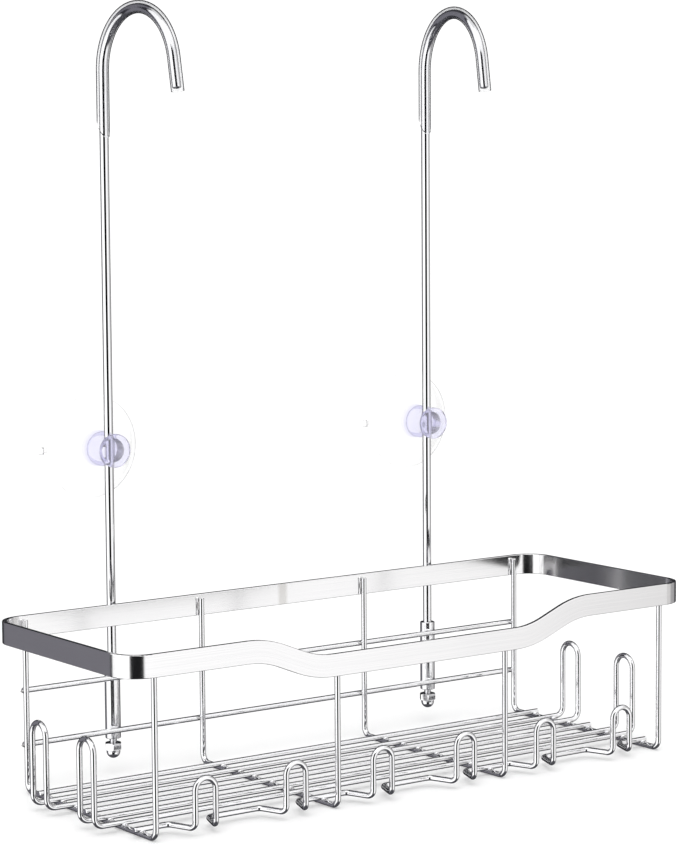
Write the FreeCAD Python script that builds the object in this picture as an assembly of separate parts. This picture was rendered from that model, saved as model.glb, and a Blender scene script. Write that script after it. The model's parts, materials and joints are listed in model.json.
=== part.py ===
"""Over-the-panel shower caddy: a welded wire basket on two swivelling hook rods with suction cups.

Frame: X runs along the basket, left to right; Y runs front to back; Z is up.
The origin is the middle of the basket, on the plane that its cross frames stand on.
All sizes are in millimetres.
"""
import FreeCAD, Part
import math
import os

Vector = FreeCAD.Vector

# ---- Rim band: a flat strip standing on edge, bent into a rounded rectangle ----
rim_length = 305.0            # outside, along X
rim_depth = 112.0             # outside, along Y
rim_height = 9.8              # width of the strip
rim_thickness = 2.0
rim_corner_radius = 13.0      # outside
rim_bottom = 68.8             # height of the strip's lower edge, away from the dip
rim_edge_round = 0.35
dip_drop = 10.5               # how far the middle of the front hangs below its ends
dip_centre = 71.5             # distance of each slope's middle from the middle of the basket
dip_slope_deg = 22.0
dip_bend_radius = 44.0        # at the middle of the strip

# ---- Basket wire ----
wire_diameter = 2.5
wire_end_chamfer = 0.3
frame_count = 4
frame_inset = 14.95           # from the strip's outer end to the outer cross frame's middle, along X
frame_bend_radius = 4.0       # to the middle of the wire
frame_top_setback = 1.6       # the frame's ends stop this far under the strip's upper edge

# ---- Floor wires, laid across the cross frames ----
floor_front_gap = 9.75        # from the front uprights' middle to the foremost floor wire's
floor_back_gap = 17.45        # from the back uprights' middle to the rearmost floor wire's
floor_overhang = 2.6          # free ends, past the outer cross frames' middle
floor_shift = -2.0            # the straight wires and the hook wire are welded this far to the side
floor_wire_total = 7

# ---- Side loops: floor wires 2 and 3, and 5 and 6, turned up and joined at each end ----
loop_width = 11.4             # between the two joined wires' middles
loop_overhang = 10.0          # from the outer cross frame's middle to the upright legs
loop_shift = -5.0             # the loop wires are welded this far to the side, along X
loop_height = 36.0            # from the floor wire's middle to the top of the arch's middle
loop_bend_radius = 4.0

# ---- Front hooks, bent in the foremost floor wire ----
front_hook_count = 6
front_hook_closeness = 0.45   # the hooks stand this much closer together than half a bay
hook_leg_spacing = 10.0
hook_stand_off = 3.45         # from the front uprights' middle forward to the hooks' legs
hook_height = 20.6            # from the floor wire's middle to the top of the arch's middle
hook_splay_deg = 20.0         # each foot leans out from the fore-and-aft line
hook_foot_radius = 3.0        # bend from foot to leg
hook_turn_radius = 3.0        # bend from floor wire to foot

# ---- Back wires and sockets ----
back_wire_lower_z = 21.2
back_wire_upper_z = 45.3
back_wire_overhang = 0.6      # past the outer cross frames' middle
socket_spacing = 178.6        # between the two rods
socket_wall = 1.45
socket_below = 4.3            # below the lower back wire's middle
socket_above = 4.8            # above the upper back wire's middle
socket_ledge = 4.0            # length of the narrow bore at the lower end
socket_end_round = 0.4

# ---- Hook rods ----
rod_diameter = 4.0
rod_shoulder_step = 0.25      # radial, from the rod down to its threaded end
thread_pitch = 0.6
thread_depth = 0.33
rod_running_clearance = 0.05  # radial, rod in socket and rod in suction cup
shoulder_gap = 0.3            # rod shoulder above the socket's ledge
rod_top_z = 341.8             # middle of the rod at the top of the arch
arch_radius = 26.5            # to the middle of the rod
arch_angle_deg = 170.0
tip_length = 13.3             # straight end after the arch
left_toe_in_deg = 3.5         # each hook swivels, and stands turned this far towards the middle
right_toe_in_deg = 8.0
rod_end_chamfer = 0.5

# ---- Clear sleeves over the arches ----
sleeve_wall = 0.35
sleeve_looseness = 0.55       # radial, over the rod, if both had one line
sleeve_stand_out = 0.45       # the sleeve bends this much wider than the rod
sleeve_down_leg = 29.6        # straight length on the long leg, below the arch
sleeve_past_tip = 1.3
sleeve_cut_deg = 60.0         # slant of the cut on the long leg

# ---- Acorn nuts ----
nut_gap = 2.1                 # under the socket
nut_wall = 1.75               # at the flats, outside the thread
nut_hex_height = 3.3
nut_dome_setback = 0.4        # the dome's side inside the flats
nut_total_height = 7.1
nut_thread_clearance = 0.06   # radial, the plain bore stands in for the cut thread
nut_engagement = 4.4
nut_bore_spare = 0.6          # bore past the rod's end
nut_hex_chamfer = 0.6         # chamfer height, as a share of the corners' rise over the flats

# ---- Suction cups ----
cup_z = 147.4                 # height of the cup's middle
cup_diameter = 46.4
cup_rim_to_rod = 15.7         # from the rod's middle back to the plane of the rim
cup_rim_thickness = 0.9
cup_hub_diameter = 11.6       # where the bell leaves the block
cup_hub_thickness = 2.6
cup_lip_width = 1.2           # flat ring that meets the glass
cup_head_diameter = 15.0      # front button
cup_head_thickness = 3.4
cup_head_crown = 0.7
cup_flange_diameter = 15.4    # round block behind the rod
cup_flange_thickness = 3.6
cup_neck_diameter = 10.6
cup_neck_gap = 7.0            # between the button and the block
cup_edge_round = 1.2
cup_tab_length = 4.2
cup_tab_width = 3.2
cup_tab_thickness = 1.6
cup_tab_web = 0.7
cup_tab_grip = 2.2
cup_bell_curve = 0.36         # how far the bell's outside has moved back, half way out

# ---- Places that follow from the sizes above ----
wire_radius = wire_diameter / 2
rod_radius = rod_diameter / 2
thread_diameter = rod_diameter - 2 * rod_shoulder_step
socket_outer_diameter = rod_diameter + 2 * (rod_running_clearance + socket_wall)
sleeve_bore = rod_diameter + 2 * sleeve_looseness
sleeve_outer_diameter = sleeve_bore + 2 * sleeve_wall
nut_across_flats = thread_diameter + 2 * nut_wall
nut_dome_diameter = nut_across_flats - 2 * nut_dome_setback
rim_top = rim_bottom + rim_height
frame_pitch = (rim_length - 2 * frame_inset) / (frame_count - 1)
frame_y = rim_depth / 2 - rim_thickness - wire_radius
frame_z = wire_radius
floor_z = frame_z + wire_diameter
floor_front_y = floor_front_gap - frame_y
floor_wire_pitch = (frame_y - floor_back_gap - floor_front_y) / (floor_wire_total - 1)
front_hook_pitch = frame_pitch / 2 - front_hook_closeness
hook_reach = floor_front_gap + hook_stand_off
end_frame_x = frame_pitch * (frame_count - 1) / 2
loop_x = end_frame_x + loop_overhang
back_wire_y = frame_y + wire_diameter
rod_y = back_wire_y + wire_radius + socket_outer_diameter / 2
rod_x = socket_spacing / 2
socket_bottom = back_wire_lower_z - socket_below
socket_top = back_wire_upper_z + socket_above
shoulder_z = socket_bottom + socket_ledge + shoulder_gap
nut_top = socket_bottom - nut_gap
arch_centre_z = rod_top_z - arch_radius


def rounded_path(points, radii, closed=False):
    """Straight runs through the points, joined by tangent arcs. One radius per turning point."""
    corners = [Vector(*p) for p in points]
    count = len(corners)
    turning = range(count) if closed else range(1, count - 1)
    arcs = {}
    for index, radius in zip(turning, radii):
        here = corners[index]
        to_last = (corners[index - 1] - here).normalize()
        to_next = (corners[(index + 1) % count] - here).normalize()
        half_turn = (math.pi - to_last.getAngle(to_next)) / 2
        setback = radius * math.tan(half_turn)
        inward = (to_last + to_next).normalize()
        middle = here + inward * (radius / math.cos(half_turn) - radius)
        arcs[index] = (here + to_last * setback, middle, here + to_next * setback)
    edges = []
    position = arcs[0][2] if closed else corners[0]
    order = list(range(1, count)) + ([0] if closed else [])
    for index in order:
        if index in arcs:
            start, middle, end = arcs[index]
        else:
            start, middle, end = corners[index], None, corners[index]
        if position.distanceToPoint(start) > 1e-6:
            edges.append(Part.LineSegment(position, start).toShape())
        if middle is not None:
            edges.append(Part.Arc(start, middle, end).toShape())
        position = end
    return Part.Wire(edges)


def sweep_round(path, diameter):
    """A round bar of the given diameter along an open path."""
    first = path.OrderedEdges[0]
    start = first.valueAt(first.FirstParameter)
    direction = first.tangentAt(first.FirstParameter)
    section = Part.Wire([Part.makeCircle(diameter / 2, start, direction)])
    return path.makePipeShell([section], True, False)


def chamfer_ends(bar, ends, size):
    """Break the edges of a bar's flat ends, which lie at the given points."""
    rims = []
    for edge in bar.Edges:
        if not isinstance(edge.Curve, Part.Circle):
            continue
        if any(edge.Curve.Center.distanceToPoint(Vector(*end)) < 1e-4 for end in ends):
            rims.append(edge)
    return bar.makeChamfer(size, rims)


def bent_wire(points, radii):
    """One piece of basket wire with broken end edges."""
    bar = sweep_round(rounded_path(points, radii), wire_diameter)
    return chamfer_ends(bar, [points[0], points[-1]], wire_end_chamfer)


def frame_positions():
    """X of each cross frame, left to right."""
    return [frame_pitch * index - end_frame_x for index in range(frame_count)]


def floor_wire_y(number):
    """Y of a floor wire, counted from the back."""
    return floor_front_y + floor_wire_pitch * (floor_wire_total - number)


def dip_profile(offset):
    """Points and bend radii of the front strip's line, the offset above its middle."""
    half_slope = math.radians(dip_slope_deg) / 2
    half_run = dip_drop / math.tan(math.radians(dip_slope_deg)) / 2
    shift = offset * math.tan(half_slope)
    high = rim_bottom + rim_height / 2 + offset
    low = high - dip_drop
    outer = dip_centre + half_run - shift
    inner = dip_centre - half_run - shift
    end = rim_length
    points = [(-end, high), (-outer, high), (-inner, low), (inner, low), (outer, high), (end, high)]
    radii = [dip_bend_radius + offset, dip_bend_radius - offset]
    return points, radii + radii[::-1]


def dip_is_down_at(x):
    """Whether the strip is at its low level above this X."""
    half_run = dip_drop / math.tan(math.radians(dip_slope_deg)) / 2
    return abs(x) < dip_centre - half_run


def rounded_rectangle(length, depth, radius, z):
    """A face with rounded corners, centred on the Z axis."""
    x = length / 2
    y = depth / 2
    corners = [(-x, -y, z), (x, -y, z), (x, y, z), (-x, y, z)]
    return Part.Face(rounded_path(corners, [radius] * 4, closed=True))


def front_strip_outline():
    """The strip's front view as a face in the XZ plane, far in front of the basket."""
    y = -rim_depth
    edges = []
    ends = []
    for offset in (rim_height / 2, -rim_height / 2):
        points, radii = dip_profile(offset)
        line = rounded_path([(x, y, z) for x, z in points], radii)
        edges += line.Edges
        ends.append([Vector(x, y, z) for x, z in (points[0], points[-1])])
    for side in (0, 1):
        edges.append(Part.LineSegment(ends[0][side], ends[1][side]).toShape())
    return Part.Face(Part.Wire(Part.__sortEdges__(edges)))


def make_rim_band():
    """The strip: level at the back and sides, dipped along the front."""
    low = rim_bottom - dip_drop
    tall = rim_top - low
    inner_length = rim_length - 2 * rim_thickness
    inner_depth = rim_depth - 2 * rim_thickness
    outer = rounded_rectangle(rim_length, rim_depth, rim_corner_radius, low)
    inner = rounded_rectangle(inner_length, inner_depth, rim_corner_radius - rim_thickness, low)
    ring = outer.cut(inner).extrude(Vector(0, 0, tall))
    front_half = ring.common(front_strip_outline().extrude(Vector(0, rim_depth, 0)))
    level = Part.makeBox(rim_length, rim_depth, rim_height, Vector(-rim_length / 2, 0, rim_bottom))
    band = front_half.fuse(ring.common(level)).removeSplitter()
    long_edges = [edge for edge in band.Edges if not is_upright(edge)]
    return band.makeFillet(rim_edge_round, long_edges)


def is_upright(edge):
    """Whether an edge is a straight line along Z."""
    if not isinstance(edge.Curve, Part.Line):
        return False
    return abs(abs(edge.Curve.Direction.z) - 1) < 1e-6


def make_cross_frame(x):
    """A U of wire: up the inside of the front strip, across the floor, up inside the back strip."""
    back_top = rim_top - frame_top_setback
    front_top = back_top - dip_drop if dip_is_down_at(x) else back_top
    points = [
        (x, -frame_y, front_top),
        (x, -frame_y, frame_z),
        (x, frame_y, frame_z),
        (x, frame_y, back_top),
    ]
    return bent_wire(points, [frame_bend_radius] * 2)


def make_straight_wire(overhang, shift, y, z):
    """A straight wire along X, past the outer cross frames by the overhang before it is shifted."""
    half_length = end_frame_x + overhang
    return bent_wire([(shift - half_length, y, z), (shift + half_length, y, z)], [])


def make_side_loop_wire(back_number, front_number):
    """One closed ring of wire: two floor runs whose ends turn up and meet in an arch on each side."""
    arch = loop_width / 2
    y_middle = (floor_wire_y(back_number) + floor_wire_y(front_number)) / 2
    y_back = y_middle + arch
    y_front = y_middle - arch
    top = floor_z + loop_height
    half = [
        (0, y_front, floor_z),
        (loop_x, y_front, floor_z),
        (loop_x, y_front, top),
        (loop_x, y_back, top),
        (loop_x, y_back, floor_z),
        (0, y_back, floor_z),
    ]
    radii = [loop_bend_radius, arch, arch, loop_bend_radius]
    right = sweep_round(rounded_path(half, radii), wire_diameter)
    left = right.mirror(Vector(0, 0, 0), Vector(1, 0, 0))
    ring = right.fuse(left).removeSplitter()
    ring.translate(Vector(loop_shift, 0, 0))
    return ring


def front_hook_positions():
    """X of each front hook, two to a bay."""
    first = floor_shift - front_hook_pitch * (front_hook_count - 1) / 2
    return [first + front_hook_pitch * index for index in range(front_hook_count)]


def make_front_hook_wire():
    """The foremost floor wire, which leaves the floor at each hook, stands up in an arch and returns."""
    y = floor_front_y
    leg_y = y - hook_reach
    top = floor_z + hook_height
    half_leg = hook_leg_spacing / 2
    half_foot = half_leg + hook_reach * math.tan(math.radians(hook_splay_deg))
    end = end_frame_x + floor_overhang
    points = [(floor_shift - end, y, floor_z)]
    radii = []
    for x in front_hook_positions():
        points += [
            (x - half_foot, y, floor_z),
            (x - half_leg, leg_y, floor_z),
            (x - half_leg, leg_y, top),
            (x + half_leg, leg_y, top),
            (x + half_leg, leg_y, floor_z),
            (x + half_foot, y, floor_z),
        ]
        bends = [hook_turn_radius, hook_foot_radius, half_leg]
        radii += bends + bends[::-1]
    points.append((floor_shift + end, y, floor_z))
    return bent_wire(points, radii)


def outer_rims(shape, radius):
    """The circular edges of this radius."""
    real = [edge for edge in shape.Edges if not edge.Degenerated]
    circles = [edge for edge in real if isinstance(edge.Curve, Part.Circle)]
    return [edge for edge in circles if abs(edge.Curve.Radius - radius) < 1e-6]


def make_socket(x):
    """A tube for the rod, with a ledge inside its lower end that the rod's shoulder sits over."""
    foot = Vector(x, rod_y, socket_bottom)
    ledge_top = Vector(x, rod_y, socket_bottom + socket_ledge)
    outer_radius = socket_outer_diameter / 2
    tube = Part.makeCylinder(outer_radius, socket_top - socket_bottom, foot)
    tube = tube.makeFillet(socket_end_round, outer_rims(tube, outer_radius))
    wide_bore = Part.makeCylinder(rod_radius + rod_running_clearance, socket_top - ledge_top.z, ledge_top)
    narrow_bore = Part.makeCylinder(thread_diameter / 2 + rod_running_clearance, socket_ledge, foot)
    return tube.cut(wide_bore).cut(narrow_bore)


def hook_direction(x):
    """The level direction in which the arch leaves the long leg: forwards and a little inwards."""
    turn = math.radians(left_toe_in_deg if x < 0 else -right_toe_in_deg)
    return Vector(math.sin(turn), -math.cos(turn), 0)


def hook_path(x, start_z, end_length, stand_out=0.0):
    """Up the long leg, over the arch and down to the tip, the stand-out outside the rod's own line."""
    angle = math.radians(arch_angle_deg)
    ahead = hook_direction(x)
    up = Vector(0, 0, 1)
    centre = Vector(x, rod_y, arch_centre_z) + ahead * arch_radius
    radius = arch_radius + stand_out
    leg_top = centre - ahead * radius
    leg_foot = Vector(leg_top.x, leg_top.y, start_z)
    middle = centre - (ahead * math.cos(angle / 2) - up * math.sin(angle / 2)) * radius
    arch_end = centre - (ahead * math.cos(angle) - up * math.sin(angle)) * radius
    tip = arch_end + (ahead * math.sin(angle) + up * math.cos(angle)) * end_length
    leg = Part.LineSegment(leg_foot, leg_top).toShape()
    arch = Part.Arc(leg_top, middle, arch_end).toShape()
    return Part.Wire([leg, arch, Part.LineSegment(arch_end, tip).toShape()]), leg_foot, tip


def revolve_profile(points, foot):
    """A turned solid: a closed outline of (radius, height) points about an upright axis."""
    corners = [foot + Vector(radius, 0, height) for radius, height in points]
    outline = Part.makePolygon(corners + corners[:1])
    return Part.Face(outline).revolve(foot, Vector(0, 0, 1), 360)


def make_threaded_end(x):
    """The rod's turned-down lower end. The thread is a row of rings of the thread's pitch."""
    crest = thread_diameter / 2
    root = crest - thread_depth
    bottom = nut_top - nut_engagement
    ring_count = int((socket_bottom - bottom) / thread_pitch)
    points = [(0, 0), (root, 0)]
    for index in range(ring_count):
        start = index * thread_pitch
        points += [(root, start + thread_pitch / 8), (crest, start + thread_pitch / 2)]
        points.append((root, start + thread_pitch * 7 / 8))
    shank_start = ring_count * thread_pitch
    points += [(root, shank_start), (crest, shank_start + thread_depth)]
    points += [(crest, shoulder_z - bottom), (0, shoulder_z - bottom)]
    return revolve_profile(points, Vector(x, rod_y, bottom))


def make_hook_rod(x):
    """The long rod with its arch, and the threaded end below the shoulder."""
    path, _, tip = hook_path(x, shoulder_z, tip_length)
    rod = chamfer_ends(sweep_round(path, rod_diameter), [tip], rod_end_chamfer)
    return rod.fuse(make_threaded_end(x))


def make_sleeve(x):
    """A loose clear tube over the arch, cut on a slant at its end on the long leg."""
    low = arch_centre_z - sleeve_down_leg
    path, foot, _ = hook_path(x, low, tip_length + sleeve_past_tip, sleeve_stand_out)
    tube = sweep_round(path, sleeve_outer_diameter).cut(sweep_round(path, sleeve_bore))
    radius = sleeve_outer_diameter / 2
    rise = sleeve_outer_diameter * math.tan(math.radians(sleeve_cut_deg))
    ahead = hook_direction(x)
    across = Vector(-ahead.y, ahead.x, 0) * radius
    front = foot - across + ahead * radius
    back = foot - across - ahead * radius
    wedge = Part.Face(Part.makePolygon([front, back, back + Vector(0, 0, rise), front]))
    return tube.cut(wedge.extrude(across * 2))


def make_acorn_nut(x):
    """A hexagon with a domed lower end and a blind bore from above."""
    hex_bottom = nut_top - nut_hex_height
    corner_radius = nut_across_flats / 2 / math.cos(math.pi / 6)
    corners = []
    for index in range(7):
        angle = math.pi / 3 * index
        out = Vector(math.cos(angle), math.sin(angle), 0) * corner_radius
        corners.append(Vector(x, rod_y, hex_bottom) + out)
    hexagon = Part.Face(Part.makePolygon(corners)).extrude(Vector(0, 0, nut_hex_height))
    flat_radius = nut_across_flats / 2
    edge = corner_radius - flat_radius
    turned = revolve_profile(
        [
            (0, 0),
            (flat_radius, 0),
            (corner_radius, edge * nut_hex_chamfer),
            (corner_radius, nut_hex_height - edge * nut_hex_chamfer),
            (flat_radius, nut_hex_height),
            (0, nut_hex_height),
        ],
        Vector(x, rod_y, hex_bottom),
    )
    dome_radius = nut_dome_diameter / 2
    dome_centre = nut_top - nut_total_height + dome_radius
    collar = Part.makeCylinder(dome_radius, hex_bottom - dome_centre, Vector(x, rod_y, dome_centre))
    dome = Part.makeSphere(dome_radius, Vector(x, rod_y, dome_centre))
    body = hexagon.common(turned).fuse([collar, dome]).removeSplitter()
    bore_depth = nut_engagement + nut_bore_spare
    bore_radius = thread_diameter / 2 + nut_thread_clearance
    return body.cut(Part.makeCylinder(bore_radius, bore_depth, Vector(x, rod_y, nut_top - bore_depth)))


def cap_sagitta(base_radius, height):
    """How far a spherical cap of this base and height has dropped, half way out from its apex."""
    sphere = (base_radius**2 + height**2) / (2 * height)
    return sphere - math.sqrt(sphere**2 - base_radius**2 / 4)


def cup_outline():
    """The suction cup's half section as edges. X is the radius, and Y runs from the rod to the glass."""
    neck_end = cup_neck_gap / 2
    head_front = -neck_end - cup_head_thickness
    flange_back = neck_end + cup_flange_thickness
    head_radius = cup_head_diameter / 2
    flange_radius = cup_flange_diameter / 2
    neck_radius = cup_neck_diameter / 2
    rim_radius = cup_diameter / 2
    lip_radius = rim_radius - cup_lip_width
    rim_front = cup_rim_to_rod - cup_rim_thickness
    dish = flange_back + cup_hub_thickness
    hub_radius = cup_hub_diameter / 2
    corners = [
        (head_radius, head_front),
        (head_radius, -neck_end),
        (neck_radius, -neck_end),
        (neck_radius, neck_end),
        (flange_radius, neck_end),
        (flange_radius, flange_back),
        (hub_radius, flange_back),
    ]
    points = [Vector(radius, y, 0) for radius, y in corners]
    edges = [Part.LineSegment(a, b).toShape() for a, b in zip(points, points[1:])]
    crown = Vector(0, head_front - cup_head_crown, 0)
    crown_middle = Vector(head_radius / 2, crown.y + cap_sagitta(head_radius, cup_head_crown), 0)
    edges.append(Part.Arc(crown, crown_middle, points[0]).toShape())
    rim = Vector(rim_radius, rim_front, 0)
    bell_drop = (rim_front - flange_back) * cup_bell_curve
    bell_middle = Vector((hub_radius + rim_radius) / 2, flange_back + bell_drop, 0)
    edges.append(Part.Arc(points[-1], bell_middle, rim).toShape())
    rim_back = Vector(rim_radius, cup_rim_to_rod, 0)
    lip = Vector(lip_radius, cup_rim_to_rod, 0)
    dish_middle = Vector(lip_radius / 2, dish + cap_sagitta(lip_radius, cup_rim_to_rod - dish), 0)
    dish_centre = Vector(0, dish, 0)
    edges.append(Part.LineSegment(rim, rim_back).toShape())
    edges.append(Part.LineSegment(rim_back, lip).toShape())
    edges.append(Part.Arc(lip, dish_middle, dish_centre).toShape())
    edges.append(Part.LineSegment(dish_centre, crown).toShape())
    return edges


def make_suction_cup(x):
    """A soft cup that opens backwards, with a neck, a button in front and a hole for the rod."""
    outline = Part.Wire(Part.__sortEdges__(cup_outline()))
    cup = Part.Face(outline).revolve(Vector(0, 0, 0), Vector(0, 1, 0), 360)
    rims = outer_rims(cup, cup_head_diameter / 2) + outer_rims(cup, cup_flange_diameter / 2)
    cup = cup.makeFillet(cup_edge_round, rims)
    hole_length = cup_head_diameter
    hole = Part.makeCylinder(rod_radius + rod_running_clearance, hole_length, Vector(0, 0, -hole_length / 2))
    cup = cup.cut(hole).fuse(cup_tab())
    cup.translate(Vector(x, rod_y, cup_z))
    return cup


def cup_tab():
    """The pull tab on the rim's left side: a thin web and a thicker grip."""
    outer = cup_diameter / 2 + cup_tab_length
    back = cup_rim_to_rod - cup_tab_web / 2
    grip_corner = Vector(-outer, back - cup_tab_thickness, -cup_tab_width / 2)
    grip = Part.makeBox(cup_tab_grip, cup_tab_thickness, cup_tab_width, grip_corner)
    web_length = outer - cup_diameter / 2 + cup_lip_width
    web_corner = Vector(-outer, back - cup_tab_web, -cup_tab_width / 4)
    return grip.fuse(Part.makeBox(web_length, cup_tab_web, cup_tab_width / 2, web_corner))


def build_all():
    """Every node of the caddy by name."""
    nodes = {"rim_band": make_rim_band(), "front_hook_wire": make_front_hook_wire()}
    for number, x in enumerate(frame_positions(), 1):
        nodes[f"cross_frame_{number}"] = make_cross_frame(x)
    for place, number in (("back", 1), ("middle", 4)):
        y = floor_wire_y(number)
        nodes[f"floor_wire_{place}"] = make_straight_wire(floor_overhang, floor_shift, y, floor_z)
    nodes["side_loop_wire_back"] = make_side_loop_wire(2, 3)
    nodes["side_loop_wire_front"] = make_side_loop_wire(5, 6)
    for place, z in (("lower", back_wire_lower_z), ("upper", back_wire_upper_z)):
        nodes[f"back_wire_{place}"] = make_straight_wire(back_wire_overhang, 0, back_wire_y, z)
    for side, x in (("left", -rod_x), ("right", rod_x)):
        nodes[f"socket_{side}"] = make_socket(x)
        nodes[f"hook_rod_{side}"] = make_hook_rod(x)
        nodes[f"hook_sleeve_{side}"] = make_sleeve(x)
        nodes[f"acorn_nut_{side}"] = make_acorn_nut(x)
        nodes[f"suction_cup_{side}"] = make_suction_cup(x)
    return nodes


os.makedirs("parts", exist_ok=True)
for name, shape in build_all().items():
    if not shape.isValid() or len(shape.Solids) != 1:
        raise RuntimeError(f"{name} is not one sound solid")
    shape.Solids[0].exportStep(f"parts/{name}.step")
    print(name, round(shape.Volume, 2))
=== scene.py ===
"""Studio scene of a wire shower caddy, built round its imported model.

Lengths are in metres. X runs along the basket, Y from its front to its back, and Z is up.
"""

import json
import math

import bpy
from mathutils import Matrix, Vector

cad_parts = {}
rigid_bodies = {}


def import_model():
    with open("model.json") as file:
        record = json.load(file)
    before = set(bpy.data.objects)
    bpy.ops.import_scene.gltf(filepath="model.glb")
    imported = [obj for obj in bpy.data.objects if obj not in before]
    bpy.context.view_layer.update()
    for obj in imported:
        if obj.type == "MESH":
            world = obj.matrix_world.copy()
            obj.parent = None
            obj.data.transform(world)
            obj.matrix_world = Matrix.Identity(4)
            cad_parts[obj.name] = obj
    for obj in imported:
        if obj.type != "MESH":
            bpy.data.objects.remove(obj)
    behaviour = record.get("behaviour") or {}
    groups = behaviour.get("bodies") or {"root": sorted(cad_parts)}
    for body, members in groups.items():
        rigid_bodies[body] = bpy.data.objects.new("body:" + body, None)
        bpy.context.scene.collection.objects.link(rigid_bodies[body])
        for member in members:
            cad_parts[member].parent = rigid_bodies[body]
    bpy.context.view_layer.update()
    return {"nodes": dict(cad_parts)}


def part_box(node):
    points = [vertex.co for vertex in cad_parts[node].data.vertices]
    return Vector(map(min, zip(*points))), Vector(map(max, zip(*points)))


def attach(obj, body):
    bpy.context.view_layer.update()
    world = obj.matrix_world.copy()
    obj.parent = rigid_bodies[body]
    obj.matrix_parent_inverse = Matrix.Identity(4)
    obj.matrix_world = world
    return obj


bl_info = {
    "name": "Shower Caddy Studio",
    "version": (1, 0, 0),
    "blender": (4, 5, 0),
    "location": "View3D > Sidebar > Caddy",
    "description": "Finishes, welds and studio for a wire shower caddy on two hook rods",
    "category": "Object",
}

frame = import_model()

SIDES = ("left", "right")
FRAMES = [name for name in frame["nodes"] if name.startswith("cross_frame_")]
LOOP_WIRES = ["side_loop_wire_back", "side_loop_wire_front"]
STRAIGHT_WIRES = ["floor_wire_back", "floor_wire_middle"]
BACK_WIRES = ["back_wire_lower", "back_wire_upper"]
BASKET_WIRES = FRAMES + LOOP_WIRES + STRAIGHT_WIRES + BACK_WIRES + ["front_hook_wire"]


# The band's welded joint at the back: metres to each side, faded and full.
SEAM_HALF_WIDTH = 0.0035
SEAM_CORE = 0.0010
SEAM_COLOUR = (0.62, 0.60, 0.57, 1.0)
# What the band's grain adds to its roughness on average.
MOTTLE_MEAN = 0.05
HEAT_TINT = (0.60, 0.59, 0.58, 1.0)
# Radians of moulded ring to a metre of the cup's radius.
RING_PITCH = 5200

# Degrees that one floor wire's welds are turned from the last one's.
NUGGET_TURN = 40
# A bead at the top of an upright: wire radii to the side, and metres inwards and down.
BEAD_SPREAD = 0.62
BEAD_SINK = 0.0002
BEAD_DROP = 0.0040

# What metal mirrors round the caddy: degrees from +X, half width, softness and colour.
# A later zone covers an earlier one.
MIRROR_ZONES = (
    (190, 26, 10, (1.5, 1.5, 1.5, 1.0)),
    (324, 12, 5, (0.74, 0.73, 0.725, 1.0)),
    (352, 17, 4, (0.42, 0.415, 0.42, 1.0)),
    (71, 64, 3, (0.19, 0.186, 0.212, 1.0)),
    (134, 4, 2, (0.03, 0.03, 0.036, 1.0)),
    (54.7, 46, 6, (0.03, 0.03, 0.034, 1.0)),
    (238, 26, 3, (0.006, 0.006, 0.007, 1.0)),
)
UNDERNEATH_COLOUR = (0.08, 0.08, 0.09, 1.0)


# ---- Places read from the model ----

def middle(node):
    """The middle of a node's box."""
    low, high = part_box(node)
    return (low + high) / 2


def wire_radius():
    """Radius of the basket wire, from a straight floor wire."""
    low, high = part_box("floor_wire_back")
    return (high.z - low.z) / 2


def floor_lines():
    """Y of each line of wire along the floor: one for a straight wire, two for a looped one."""
    lines = [middle(name).y for name in STRAIGHT_WIRES]
    for name in LOOP_WIRES:
        low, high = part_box(name)
        lines += [low.y + wire_radius(), high.y - wire_radius()]
    lines.append(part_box("front_hook_wire")[1].y - wire_radius())
    return lines


def frame_end(name, outward):
    """Height of a cross frame's end at the back, outward 1, or the front, outward -1."""
    mesh = frame["nodes"][name].data
    return max(corner.co.z for corner in mesh.vertices if corner.co.y * outward > 0)


# ---- Shader maths ----

class Value:
    """A shader output that takes part in Python arithmetic. Each operator adds one Math node."""

    def __init__(self, graph, output):
        self.graph = graph
        self.output = output

    def math(self, operation, *operands):
        inputs = dict(enumerate(operands))
        return self.graph.node("ShaderNodeMath", {"operation": operation}, inputs)

    def __add__(self, other):
        return self.math("ADD", self, other)

    __radd__ = __add__

    def __sub__(self, other):
        return self.math("SUBTRACT", self, other)

    def __rsub__(self, other):
        return self.math("SUBTRACT", other, self)

    def __mul__(self, other):
        return self.math("MULTIPLY", self, other)

    __rmul__ = __mul__

    def __truediv__(self, other):
        return self.math("DIVIDE", self, other)

    def __rtruediv__(self, other):
        return self.math("DIVIDE", other, self)

    def __abs__(self):
        return self.math("ABSOLUTE", self)

    def root(self):
        return self.math("SQRT", self)

    def sine(self):
        return self.math("SINE", self)

    def at_most(self, other):
        return self.math("MINIMUM", self, other)

    def ramp(self, low, high):
        """0 at low and 1 at high, smooth between them and level beyond. High may be under low."""
        inputs = {"Value": self, "From Min": low, "From Max": high}
        return self.graph.node("ShaderNodeMapRange", {"interpolation_type": "SMOOTHSTEP"}, inputs)


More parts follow.
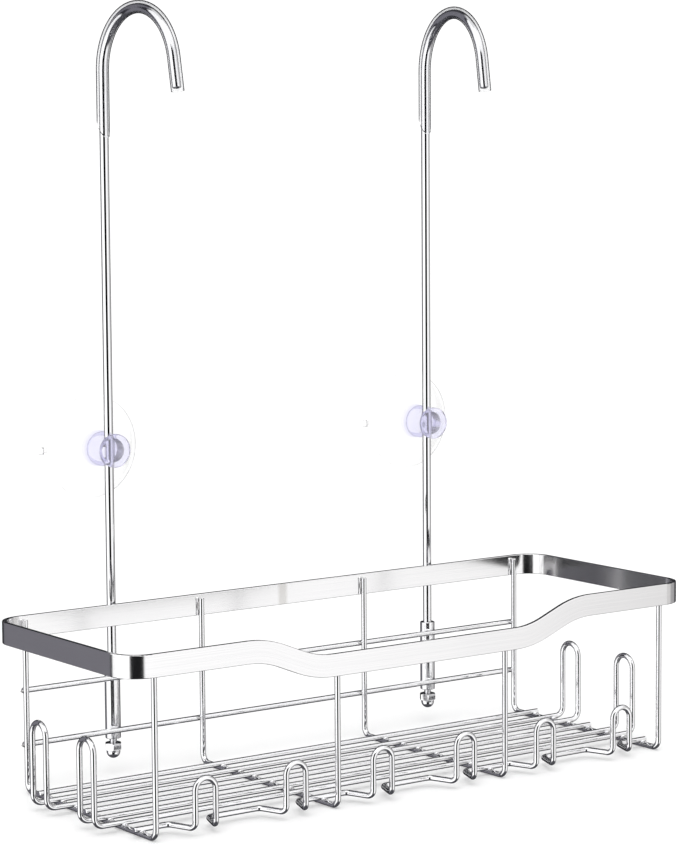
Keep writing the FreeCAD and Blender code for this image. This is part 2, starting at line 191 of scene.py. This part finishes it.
class Graph:
    """The nodes of one material or world."""

    def __init__(self, owner):
        owner.use_nodes = True
        self.tree = owner.node_tree
        self.tree.nodes.clear()

    def node(self, kind, settings=None, inputs=None, output=0):
        """Add a node, set it up, feed its sockets with values or links, and return an output."""
        made = self.tree.nodes.new(kind)
        for name, setting in (settings or {}).items():
            setattr(made, name, setting)
        for key, value in (inputs or {}).items():
            socket = made.inputs[key]
            if isinstance(value, Value):
                self.tree.links.new(value.output, socket)
            else:
                socket.default_value = value
        return Value(self, made.outputs[output]) if made.outputs else None

    def mix(self, factor, first, second):
        """A colour between two colours."""
        inputs = {0: factor, 6: first, 7: second}
        return self.node("ShaderNodeMix", {"data_type": "RGBA"}, inputs, 2)

    def axes(self, vector):
        """The X, Y and Z of a vector."""
        return [
            self.node("ShaderNodeSeparateXYZ", inputs={0: vector}, output=axis)
            for axis in range(3)
        ]

    def place(self):
        """The point's own X, Y and Z on the object."""
        return self.axes(self.node("ShaderNodeTexCoord", output="Object"))

    def noise(self, place, cells, detail=2.0, roughness=0.5):
        """Noise from 0 to 1, with so many cells to the metre on every axis or on each in turn."""
        if not isinstance(cells, tuple):
            cells = (cells, cells, cells)
        stretched = {axis: place[axis] * cells[axis] for axis in range(3)}
        vector = self.node("ShaderNodeCombineXYZ", inputs=stretched)
        inputs = {"Vector": vector, "Scale": 1.0, "Detail": detail, "Roughness": roughness}
        return self.node("ShaderNodeTexNoise", {"noise_dimensions": "3D"}, inputs)

    def bump(self, height, distance, strength):
        """A surface normal from a height between 0 and 1, which spans a distance in metres."""
        inputs = {"Height": height, "Distance": distance, "Strength": strength}
        return self.node("ShaderNodeBump", inputs=inputs)

    def surface(self, **sockets):
        """Finish a material with one Principled shader."""
        inputs = {name.replace("_", " "): value for name, value in sockets.items()}
        shader = self.node("ShaderNodeBsdfPrincipled", inputs=inputs)
        self.node("ShaderNodeOutputMaterial", inputs={"Surface": shader})


def new_material(name):
    """An empty node material and its graph."""
    material = bpy.data.materials.new(name)
    return material, Graph(material)


def grey(level):
    """A neutral opaque colour."""
    return (level, level, level, 1.0)


def opaque(colour):
    """A setting's colour with full alpha."""
    return (*colour, 1.0)


# ---- Finishes ----

def satin_band(finish):
    """Stainless strip with a fine grain along its length, which follows the dip in the front."""
    material, graph = new_material("satin_band")
    x, y, z = graph.place()
    low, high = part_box("rim_band")
    width = finish.band_width
    dip = abs(x).ramp(finish.dip_outer, finish.dip_inner) * y.ramp(0.001, -0.001)
    across = z + dip * (high.z - low.z - width)
    grain = graph.noise((x, y, across), (9, 9, 5200), detail=3.0, roughness=0.65)
    scratch = graph.noise((x, y, across), (55, 55, 21000), detail=1.0)
    cloud = graph.noise((x, y, z), 30)
    at_back = y.ramp(0.0, middle("rim_band").y + 0.01)
    seam = abs(x).ramp(SEAM_HALF_WIDTH, SEAM_CORE) * at_back
    edge = abs(across - (high.z - width / 2)).ramp(width * 0.42, width * 0.5)
    tone = (grain * 0.7 + scratch * 0.3).ramp(0.3, 0.7) * 0.65 + cloud * 0.35
    colour = graph.mix(tone, opaque(finish.steel_dark), opaque(finish.steel_light))
    colour = graph.mix(seam * 0.5, colour, SEAM_COLOUR)
    mottle = grain * 0.05 + scratch * 0.03 + cloud * 0.02
    roughness = mottle + seam * 0.08 + (finish.band_roughness - MOTTLE_MEAN) - edge * 0.03
    graph.surface(
        Base_Color=colour,
        Metallic=1.0,
        Roughness=roughness,
        Normal=graph.bump(grain * 0.6 + scratch * 0.4, distance=0.000004, strength=0.5),
    )
    return material


def bright_metal(name, finish, roughness, light):
    """Polished chrome with faint drawing marks, dull spots and a slightly uneven surface."""
    material, graph = new_material(name)
    place = graph.place()
    cloud = graph.noise(place, 45, detail=3.0)
    fine = graph.noise(place, 900, roughness=0.6)
    wave = graph.noise(place, (110, 110, 70))
    spots = cloud.ramp(0.58, 0.72)
    graph.surface(
        Base_Color=graph.mix(fine * 0.35 + cloud * 0.4, opaque(finish.chrome_dark), grey(light)),
        Metallic=1.0,
        Roughness=fine * 0.025 + spots * 0.03 + roughness,
        Normal=graph.bump(wave * 0.9 + fine * 0.1, distance=0.0000012, strength=0.6),
    )
    return material


def weld_metal(finish):
    """Resistance weld: duller and rougher than the wire, with a little heat tint."""
    material, graph = new_material("weld_metal")
    place = graph.place()
    pits = graph.noise(place, 1900, detail=3.0, roughness=0.6)
    tint = graph.noise(place, 260)
    graph.surface(
        Base_Color=graph.mix(tint.ramp(0.35, 0.7), HEAT_TINT, opaque(finish.chrome_dark)),
        Metallic=1.0,
        Roughness=pits * 0.16 + 0.16,
        Normal=graph.bump(pits, distance=0.00004, strength=0.6),
    )
    return material


def clear_tube(finish):
    """Clear vinyl sleeve with faint drawing lines and a slight haze."""
    material, graph = new_material("clear_tube")
    place = graph.place()
    haze = graph.noise(place, 160, detail=3.0)
    ripple = graph.noise(place, (420, 420, 90))
    graph.surface(
        Base_Color=graph.mix(haze, grey(0.99), opaque(finish.tube_colour)),
        Roughness=haze * 0.03 + 0.01,
        Transmission_Weight=1.0,
        IOR=1.42,
        Normal=graph.bump(ripple, distance=0.000002, strength=0.4),
    )
    return material


def soft_clear(name, finish, side):
    """Soft clear vinyl, lilac where it is thick and colourless in the thin disc."""
    material, graph = new_material(name)
    x, y, z = graph.place()
    across = x - middle(f"acorn_nut_{side}").x
    above = z - middle(f"suction_cup_{side}").z
    radius = (across * across + above * above).root()
    thick = radius.ramp(finish.thick_radius * 1.08, finish.thick_radius)
    flow = graph.noise((x, y, z), 210)
    ring = (radius * RING_PITCH).sine() * 0.5 + 0.5
    colour = graph.mix(thick, grey(0.995), opaque(finish.lilac))
    colour = graph.mix(flow * 0.3 * thick, colour, opaque(finish.deep_lilac))
    graph.surface(
        Base_Color=colour,
        Roughness=flow * 0.03 + 0.015,
        Transmission_Weight=0.86,
        IOR=1.16,
        Alpha=0.85,
        Normal=graph.bump(ring * 0.25 + flow * 0.75, distance=0.00002, strength=0.4),
    )
    return material


def paper_floor(stage):
    """Pale seamless paper with a faint tooth."""
    material, graph = new_material("paper_floor")
    tooth = graph.noise(graph.place(), (700, 700, 1))
    level = stage.floor_level
    graph.surface(
        Base_Color=graph.mix(tooth, grey(level), grey(level * 0.985)),
        Roughness=0.9,
        Specular_IOR_Level=0.1,
    )
    return material


def give(nodes, material):
    """Dress CAD nodes in a material."""
    for name in nodes:
        piece = frame["nodes"][name]
        piece.data.materials.clear()
        piece.data.materials.append(material)


# ---- Modelling helpers ----

def select_none():
    """Deselect everything, so that the next operator acts only on what it adds."""
    for piece in bpy.context.view_layer.objects:
        piece.select_set(False)


def finish_piece(piece, body, material):
    """Freeze a piece's place into its mesh, dress it and let it ride on its body."""
    select_none()
    piece.select_set(True)
    bpy.context.view_layer.objects.active = piece
    bpy.ops.object.transform_apply(location=True, rotation=True, scale=True)
    piece.data.materials.clear()
    piece.data.materials.append(material)
    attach(piece, body)
    return piece


def join_copies(model, places, name):
    """Copies of a small model at many places, joined into one piece. Each place is a matrix."""
    copies = []
    for place in places:
        copy = model.copy()
        copy.data = model.data.copy()
        bpy.context.scene.collection.objects.link(copy)
        copy.matrix_world = place
        copies.append(copy)
    bpy.data.objects.remove(model)
    select_none()
    for copy in copies:
        copy.select_set(True)
    bpy.context.view_layer.objects.active = copies[0]
    bpy.ops.object.join()
    piece = bpy.context.view_layer.objects.active
    piece.name = name
    return piece


def weld_nugget(radius, height):
    """A squeezed, slightly uneven bead of metal, as a spot weld leaves between two wires."""
    select_none()
    bpy.ops.mesh.primitive_uv_sphere_add(segments=14, ring_count=8, radius=radius)
    model = bpy.context.active_object
    bpy.ops.object.mode_set(mode="EDIT")
    bpy.ops.mesh.select_all(action="SELECT")
    bpy.ops.transform.resize(value=(1.0, 1.0, height / radius))
    bpy.ops.transform.vertex_random(offset=radius * 0.09, seed=3)
    bpy.ops.object.mode_set(mode="OBJECT")
    smooth = model.modifiers.new("round", "SUBSURF")
    smooth.levels = 1
    smooth.render_levels = 1
    bpy.ops.object.modifier_apply(modifier="round")
    bpy.ops.object.shade_smooth()
    return model


def turned(place, degrees, axis):
    """A matrix that turns about an axis and then moves to a place."""
    return Matrix.Translation(place) @ Matrix.Rotation(math.radians(degrees), 4, axis)


# ---- Settings ----

class CaddyFinish(bpy.types.PropertyGroup):
    """Colours and roughness of the caddy's finishes."""

    steel_light: bpy.props.FloatVectorProperty(
        name="Steel, light", description="Lighter grain of the band", subtype="COLOR",
        default=(0.90, 0.895, 0.895), min=0, max=1)
    steel_dark: bpy.props.FloatVectorProperty(
        name="Steel, dark", description="Darker grain of the band", subtype="COLOR",
        default=(0.78, 0.775, 0.785), min=0, max=1)
    chrome_dark: bpy.props.FloatVectorProperty(
        name="Chrome, dark", description="Darker patches of the plated wire", subtype="COLOR",
        default=(0.80, 0.80, 0.82), min=0, max=1)
    band_roughness: bpy.props.FloatProperty(
        name="Band roughness", description="How far the band blurs its reflections",
        default=0.16, min=0.02, max=0.6)
    band_width: bpy.props.FloatProperty(
        name="Band width", description="Width of the strip", unit="LENGTH", default=0.0098)
    dip_inner: bpy.props.FloatProperty(
        name="Dip, inner end", description="Where each slope reaches its low level, along X",
        unit="LENGTH", default=0.052)
    dip_outer: bpy.props.FloatProperty(
        name="Dip, outer end", description="Where each slope reaches its high level, along X",
        unit="LENGTH", default=0.091)
    tube_colour: bpy.props.FloatVectorProperty(
        name="Tube", description="Tint of the clear sleeves", subtype="COLOR",
        default=(0.955, 0.96, 0.97), min=0, max=1)
    lilac: bpy.props.FloatVectorProperty(
        name="Cup", description="Tint of the thick parts of the suction cups", subtype="COLOR",
        default=(0.87, 0.86, 0.98), min=0, max=1)
    deep_lilac: bpy.props.FloatVectorProperty(
        name="Cup, deep", description="Tint where the soft plastic is deepest", subtype="COLOR",
        default=(0.66, 0.65, 0.90), min=0, max=1)
    thick_radius: bpy.props.FloatProperty(
        name="Thick radius", description="Radius of the cup's button and block",
        unit="LENGTH", default=0.0077)


class CaddyWelds(bpy.types.PropertyGroup):
    """Sizes of the welds."""

    nugget_radius: bpy.props.FloatProperty(
        name="Nugget", description="Radius of a spot weld between crossing wires",
        unit="LENGTH", default=0.00115)
    nugget_height: bpy.props.FloatProperty(
        name="Nugget height", description="Half height of a spot weld between crossing wires",
        unit="LENGTH", default=0.0007)
    bead_radius: bpy.props.FloatProperty(
        name="Bead", description="Radius of a bead between a wire and a flat or a tube",
        unit="LENGTH", default=0.0008)
    bead_length: bpy.props.FloatProperty(
        name="Bead length", description="Half length of a bead", unit="LENGTH", default=0.0022)


class CaddyStage(bpy.types.PropertyGroup):
    """Camera, floor and light."""

    camera_place: bpy.props.FloatVectorProperty(
        name="Camera", description="Where the camera stands", subtype="TRANSLATION", unit="LENGTH",
        default=(-0.729449, -1.003444, 0.293174))
    camera_yaw: bpy.props.FloatProperty(
        name="Yaw", description="How far the camera looks round from +Y towards +X",
        unit="ROTATION", default=0.616)
    camera_pitch: bpy.props.FloatProperty(
        name="Pitch", description="How far the camera looks down", unit="ROTATION", default=0.098)
    camera_roll: bpy.props.FloatProperty(
        name="Roll", description="How far the camera leans", unit="ROTATION", default=-0.008)
    camera_lens: bpy.props.FloatProperty(
        name="Lens", description="Focal length in millimetres for a 36 mm sensor", default=119.264)
    camera_shift: bpy.props.FloatVectorProperty(
        name="Shift", description="Lens shift, as a share of the frame's long side", size=2,
        default=(0.0294, -0.0328))
    floor_level: bpy.props.FloatProperty(
        name="Floor", description="How pale the floor is", default=0.93, min=0, max=1)
    backdrop: bpy.props.FloatProperty(
        name="Backdrop", description="Brightness of the white room round the caddy", default=1.1)
    key_strength: bpy.props.FloatProperty(
        name="Key light", description="Strength of the large overhead light", default=0.5)


# ---- Operators ----

class CADDY_OT_band(bpy.types.Operator):
    """Give the rim band its satin grain"""

    bl_idname = "caddy.band"
    bl_label = "Rim band"

    def execute(self, context):
        give(["rim_band"], satin_band(context.scene.caddy_finish))
        return {"FINISHED"}


class CADDY_OT_wires(bpy.types.Operator):
    """Give the basket's wires their bright plating"""

    bl_idname = "caddy.wires"
    bl_label = "Basket wires"

    def execute(self, context):
        give(BASKET_WIRES, bright_metal("bright_wire", context.scene.caddy_finish, 0.05, 0.93))
        return {"FINISHED"}


class CADDY_OT_rods(bpy.types.Operator):
    """Finish the hook rods, their sockets and the acorn nuts"""

    bl_idname = "caddy.rods"
    bl_label = "Rods, sockets and nuts"

    def execute(self, context):
        for part, name, roughness, light in (
            ("hook_rod", "bright_rod", 0.035, 0.95),
            ("socket", "bright_socket", 0.06, 0.92),
            ("acorn_nut", "bright_nut", 0.07, 0.92),
        ):
            metal = bright_metal(name, context.scene.caddy_finish, roughness, light)
            give([f"{part}_{side}" for side in SIDES], metal)
        return {"FINISHED"}


class CADDY_OT_sleeves(bpy.types.Operator):
    """Make the sleeves over the arches clear"""

    bl_idname = "caddy.sleeves"
    bl_label = "Clear sleeves"

    def execute(self, context):
        give([f"hook_sleeve_{side}" for side in SIDES], clear_tube(context.scene.caddy_finish))
        return {"FINISHED"}


class CADDY_OT_cups(bpy.types.Operator):
    """Make the suction cups soft and clear"""

    bl_idname = "caddy.cups"
    bl_label = "Suction cups"

    def execute(self, context):
        finish = context.scene.caddy_finish
        for side in SIDES:
            give([f"suction_cup_{side}"], soft_clear(f"soft_clear_{side}", finish, side))
        return {"FINISHED"}


class CADDY_OT_floor_welds(bpy.types.Operator):
    """Weld every floor wire to every cross frame"""

    bl_idname = "caddy.floor_welds"
    bl_label = "Floor welds"

    def execute(self, context):
        welds = context.scene.caddy_welds
        height = 2 * wire_radius()
        model = weld_nugget(welds.nugget_radius, welds.nugget_height)
        places = [
            turned((middle(name).x, y, height), NUGGET_TURN * index, "Z")
            for index, y in enumerate(floor_lines())
            for name in FRAMES
        ]
        piece = join_copies(model, places, "floor_welds")
        finish_piece(piece, "basket", weld_metal(context.scene.caddy_finish))
        return {"FINISHED"}


class CADDY_OT_upright_welds(bpy.types.Operator):
    """Weld the uprights to the rim band, and the back wires to the uprights and sockets"""

    bl_idname = "caddy.upright_welds"
    bl_label = "Upright welds"

    def execute(self, context):
        welds = context.scene.caddy_welds
        radius = wire_radius()
        places = []
        for name in FRAMES:
            low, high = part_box(name)
            x = middle(name).x
            for y, outward in ((low.y, -1), (high.y, 1)):
                inside = y - outward * BEAD_SINK
                height = frame_end(name, outward) - BEAD_DROP
                for side in (-1, 1):
                    bead = Vector((x + side * radius * BEAD_SPREAD, inside, height))
                    places.append(turned(bead, 0, "Z"))
        for wire in BACK_WIRES:
            centre = middle(wire)
            for name in FRAMES:
                places.append(turned((middle(name).x, centre.y - radius, centre.z), 90, "Y"))
            for side in SIDES:
                socket = middle(f"socket_{side}")
                places.append(turned((socket.x, centre.y + radius, centre.z), 90, "Y"))
        model = weld_nugget(welds.bead_radius, welds.bead_length)
        piece = join_copies(model, places, "upright_welds")
        finish_piece(piece, "basket", weld_metal(context.scene.caddy_finish))
        return {"FINISHED"}


class CADDY_OT_stage(bpy.types.Operator):
    """Set the floor, the white room, the key light and the camera"""

    bl_idname = "caddy.stage"
    bl_label = "Studio"

    def execute(self, context):
        stage = context.scene.caddy_stage
        add_floor(stage)
        add_room(context.scene, stage)
        add_key_light(stage)
        add_camera(context.scene, stage)
        context.scene.view_settings.view_transform = "Standard"
        return {"FINISHED"}


def add_floor(stage):
    """A wide pale floor that the caddy stands on. It shows in no mirror and through no plastic."""
    select_none()
    bpy.ops.mesh.primitive_plane_add(size=60, location=(0, 0, 0))
    floor = bpy.context.active_object
    floor.name = "floor"
    floor.data.materials.append(paper_floor(stage))
    floor.visible_glossy = False
    floor.visible_transmission = False


def add_room(scene, stage):
    """A white room, in which mirrors see the zones and the camera sees the backdrop."""
    world = bpy.data.worlds.new("white_room")
    scene.world = world
    graph = Graph(world)
    x, y, z = graph.axes(graph.node("ShaderNodeTexCoord", output="Generated"))
    level = graph.node("ShaderNodeCombineXYZ", inputs={0: x, 1: y, 2: 0.0})
    level = graph.node("ShaderNodeVectorMath", {"operation": "NORMALIZE"}, {0: level})
    seen = grey(1.18)
    for azimuth, half_width, softness, colour in MIRROR_ZONES:
        angle = math.radians(azimuth)
        inputs = {0: level, 1: Vector((math.cos(angle), math.sin(angle), 0))}
        towards = graph.node("ShaderNodeVectorMath", {"operation": "DOT_PRODUCT"}, inputs, 1)
        outer = math.cos(math.radians(half_width + softness))
        inner = math.cos(math.radians(half_width - softness))
        seen = graph.mix(towards.ramp(outer, inner), seen, colour)
    upper_front = z.ramp(0.45, 0.6) * y.ramp(0.15, -0.25)
    overhead = z.ramp(0.86, 0.96)
    underneath = z.ramp(-0.60, -0.80)
    seen = graph.mix(upper_front, seen, grey(1.2))
    seen = graph.mix(overhead, seen, grey(0.9))
    seen = graph.mix(underneath, seen, UNDERNEATH_COLOUR)
    depth = graph.node("ShaderNodeLightPath", output="Glossy Depth").at_most(1.0)
    colour = graph.mix(depth, grey(stage.backdrop), seen)
    background = graph.node("ShaderNodeBackground", inputs={"Color": colour, "Strength": 1.0})
    graph.node("ShaderNodeOutputWorld", inputs={"Surface": background})


def add_key_light(stage):
    """A broad overhead light from the upper left, which gives a soft shadow."""
    light = bpy.data.lights.new("key_light", "SUN")
    light.energy = stage.key_strength
    light.angle = math.radians(35)
    key = bpy.data.objects.new("key_light", light)
    towards_light = Vector((-0.35, -0.45, 1.0))
    key.rotation_euler = towards_light.to_track_quat("Z", "Y").to_euler()
    bpy.context.scene.collection.objects.link(key)


def add_camera(scene, stage):
    """The camera, from its yaw, pitch and roll."""
    yaw, pitch, roll = stage.camera_yaw, stage.camera_pitch, stage.camera_roll
    level = math.cos(pitch)
    ahead = Vector((math.sin(yaw) * level, math.cos(yaw) * level, -math.sin(pitch)))
    right = Vector((math.cos(yaw), -math.sin(yaw), 0))
    up = right.cross(ahead)
    leaned_right = right * math.cos(roll) + up * math.sin(roll)
    leaned_up = up * math.cos(roll) - right * math.sin(roll)
    data = bpy.data.cameras.new("camera")
    data.lens = stage.camera_lens
    data.shift_x, data.shift_y = stage.camera_shift
    data.clip_start = 0.05
    data.clip_end = 100
    camera = bpy.data.objects.new("camera", data)
    axes = Matrix((leaned_right, leaned_up, -ahead)).transposed().to_4x4()
    camera.matrix_world = Matrix.Translation(stage.camera_place) @ axes
    scene.collection.objects.link(camera)
    scene.camera = camera


class CADDY_PT_panel(bpy.types.Panel):
    """Lists the caddy's pieces and settings"""

    bl_idname = "CADDY_PT_panel"
    bl_label = "Shower caddy"
    bl_space_type = "VIEW_3D"
    bl_region_type = "UI"
    bl_category = "Caddy"

    def draw(self, context):
        for operator in OPERATORS:
            self.layout.operator(operator.bl_idname)
        for group in SETTINGS:
            settings = getattr(context.scene, group)
            box = self.layout.box()
            for name in settings.__annotations__:
                box.prop(settings, name)


OPERATORS = (
    CADDY_OT_band,
    CADDY_OT_wires,
    CADDY_OT_rods,
    CADDY_OT_sleeves,
    CADDY_OT_cups,
    CADDY_OT_floor_welds,
    CADDY_OT_upright_welds,
    CADDY_OT_stage,
)
SETTINGS = {"caddy_finish": CaddyFinish, "caddy_welds": CaddyWelds, "caddy_stage": CaddyStage}


def register():
    for name, group in SETTINGS.items():
        bpy.utils.register_class(group)
        setattr(bpy.types.Scene, name, bpy.props.PointerProperty(type=group))
    for operator in OPERATORS:
        bpy.utils.register_class(operator)
    bpy.utils.register_class(CADDY_PT_panel)


def unregister():
    bpy.utils.unregister_class(CADDY_PT_panel)
    for operator in reversed(OPERATORS):
        bpy.utils.unregister_class(operator)
    for name, group in SETTINGS.items():
        delattr(bpy.types.Scene, name)
        bpy.utils.unregister_class(group)


def main():
    register()
    for operator in OPERATORS:
        group, name = operator.bl_idname.split(".")
        getattr(getattr(bpy.ops, group), name)()


if __name__ == "__main__":
    main()
